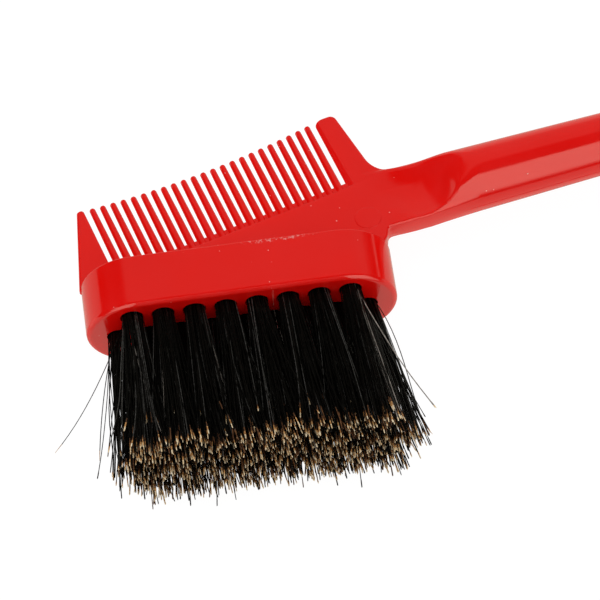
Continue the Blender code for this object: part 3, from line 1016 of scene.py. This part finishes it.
def make_camera():
    """A long lens above the bristle side. Its azimuth turns round Z, away from straight in front."""
    data = bpy.data.cameras.new("camera")
    data.sensor_width = 36.0
    data.lens = CAMERA_LENS
    data.clip_start = 0.01
    azimuth, elevation, roll = map(math.radians, (CAMERA_AZIMUTH, CAMERA_ELEVATION, CAMERA_ROLL))
    level = math.cos(elevation)
    back = Vector((math.sin(azimuth) * level, -math.cos(azimuth) * level, math.sin(elevation)))
    right = Vector((math.cos(azimuth), math.sin(azimuth), 0.0))
    up = back.cross(right)
    level_right, level_up = right, up
    right = level_right * math.cos(roll) + level_up * math.sin(roll)
    up = level_up * math.cos(roll) - level_right * math.sin(roll)
    matrix = Matrix((right, up, back)).transposed().to_4x4()
    matrix.translation = CAMERA_PLACE
    camera = bpy.data.objects.new("camera", data)
    camera.matrix_world = matrix
    bpy.context.scene.collection.objects.link(camera)
    bpy.context.scene.camera = camera


# Soft lights: name, direction from the brush, distance, width, height and radiance.
FILLS = (
    ("top_fill", (0.0, 0.1, 1.0), 1.1, 3.2, 3.2, 0.84),
    ("front_fill", (0.0, -1.0, 0.45), 1.6, 2.6, 1.2, 0.58),
    ("back_fill", (0.0, 1.0, 0.40), 1.6, 3.0, 1.2, 0.6),
    ("left_fill", (-1.0, 0.0, 0.40), 1.6, 3.0, 1.2, 0.75),
    ("right_fill", (1.0, 0.0, 0.40), 1.6, 3.0, 1.2, 0.75),
)


def softbox(name, towards, distance, width, height, radiance):
    """A soft light facing the brush. It fills evenly and leaves no mirror image of itself."""
    data = bpy.data.lights.new(name, "AREA")
    data.shape = "RECTANGLE"
    data.size = width
    data.size_y = height
    data.energy = radiance * math.pi * width * height
    light = bpy.data.objects.new(name, data)
    direction = Vector(towards).normalized()
    light.location = direction * distance + Vector((0.0, 0.0, 0.01))
    light.rotation_euler = direction.to_track_quat("Z", "Y").to_euler()
    light.visible_glossy = False
    bpy.context.scene.collection.objects.link(light)


def make_card():
    """The dark strip that a camera and its stand leave in the front softbox's mirror image."""
    left, right, near, tall = -0.165, 0.045, -0.55, 1.3
    mesh = bpy.data.meshes.new("dark_card")
    corners = [(left, near, 0.0), (right, near, 0.0), (right, near, tall), (left, near, tall)]
    mesh.from_pydata(corners, [], [(0, 1, 2, 3)])
    material, shader, nodes = new_material("card_black")
    tone = nodes.noise(nodes.add("ShaderNodeTexCoord").outputs["Object"], 4.0)
    dark = nodes.mottled(tone, ((0.01, 0.01, 0.01), (0.02, 0.02, 0.02)))
    material.node_tree.links.new(dark, shader.inputs["Base Color"])
    mesh.materials.append(material)
    card = bpy.data.objects.new("dark_card", mesh)
    card.visible_camera = card.visible_diffuse = card.visible_shadow = False
    bpy.context.scene.collection.objects.link(card)


def make_floor():
    half = 4.0
    below = 0.0002
    mesh = bpy.data.meshes.new("table")
    corners = [(-half, -half, 0.0), (half, -half, 0.0), (half, half, 0.0), (-half, half, 0.0)]
    mesh.from_pydata(corners, [], [(0, 1, 2, 3)])
    mesh.materials.append(table_white())
    floor = bpy.data.objects.new("table", mesh)
    floor.location.z = -below
    floor.visible_glossy = False
    bpy.context.scene.collection.objects.link(floor)


# What the gloss mirrors. Angles are degrees from straight up towards the front, so the back is
# negative. Heights and sideways limits are parts of a direction of length 1. A pair of limits has
# a fade between them.
# Front bands: where each starts and how softly, where it ends and how softly, the sideways limits
# of its fade, and its radiance.
FRONT_BANDS = (
    (21.0, 1.5, 92.0, 9.0, 0.70, 0.85, 2.7),
    (107.0, 3.0, 178.0, 1.0, 1.5, 2.0, 0.82),
)
WALL_ANGLES = (-24.0, -12.0)
WALL_LEFT = (-0.34, -0.14)
WALL_RIGHT = (0.78, 0.92)
WALL_RADIANCE = 0.37
CEILING_RADIANCE = 0.015
BACK_TABLE_ANGLES = (-84.0, -80.0)
BACK_TABLE_RADIANCE = 0.62
SIDE_TABLE_HEIGHTS = (-0.03, 0.05)
SIDE_TABLE_REACH = (0.80, 0.86)
SIDE_TABLE_RADIANCE = 0.9
SIDE_TABLE_DRIFT = -0.3
WARMTH = 0.85


def make_world():
    """A front softbox, a dark ceiling, a dim back wall and a white table, seen by the gloss only."""
    world = bpy.data.worlds.new("room")
    world.use_nodes = True
    bpy.context.scene.world = world
    nodes = Nodes(world.node_tree)
    background = world.node_tree.nodes["Background"]

    def multiply(first, second):
        return nodes.math("MULTIPLY", first, second)

    def rising(value, low, high):
        return nodes.spread(value, low, high, smooth=True)

    def falling(value, low, high):
        return nodes.spread(value, low, high, 1.0, 0.0, smooth=True)

    where = nodes.add("ShaderNodeTexCoord").outputs["Generated"]
    parts = nodes.add("ShaderNodeSeparateXYZ", {0: where}).outputs
    angle = nodes.math("ARCTAN2", multiply(parts["Y"], -1.0), parts["Z"])
    sideways = nodes.math("ABSOLUTE", parts["X"])
    wall = falling(angle, *map(math.radians, WALL_ANGLES))
    ends = multiply(rising(parts["X"], *WALL_LEFT), falling(parts["X"], *WALL_RIGHT))
    level = nodes.math("ADD", multiply(multiply(wall, ends), WALL_RADIANCE), CEILING_RADIANCE)
    for low, ease, high, fade, side_low, side_high, radiance in FRONT_BANDS:
        rise = rising(angle, math.radians(low - ease), math.radians(low + ease))
        fall = falling(angle, math.radians(high - fade), math.radians(high + fade))
        side = multiply(falling(sideways, side_low, side_high), radiance)
        level = nodes.math("ADD", multiply(multiply(rise, fall), side), level)
    behind = falling(angle, *map(math.radians, BACK_TABLE_ANGLES))
    aside = multiply(falling(parts["Z"], *SIDE_TABLE_HEIGHTS), rising(sideways, *SIDE_TABLE_REACH))
    beside = nodes.math("ADD", multiply(parts["X"], SIDE_TABLE_DRIFT), SIDE_TABLE_RADIANCE)
    table = nodes.math("MAXIMUM", multiply(behind, BACK_TABLE_RADIANCE), multiply(aside, beside))
    level = nodes.math("MAXIMUM", level, table)
    tint = nodes.add("ShaderNodeCombineColor", {0: level, 1: level, 2: multiply(level, WARMTH)})
    world.node_tree.links.new(tint.outputs[0], background.inputs["Color"])
    world.cycles_visibility.diffuse = False


def studio():
    make_floor()
    make_world()
    for fill in FILLS:
        softbox(*fill)
    make_card()
    make_camera()
    bpy.context.scene.view_settings.view_transform = "Standard"


build()
studio()
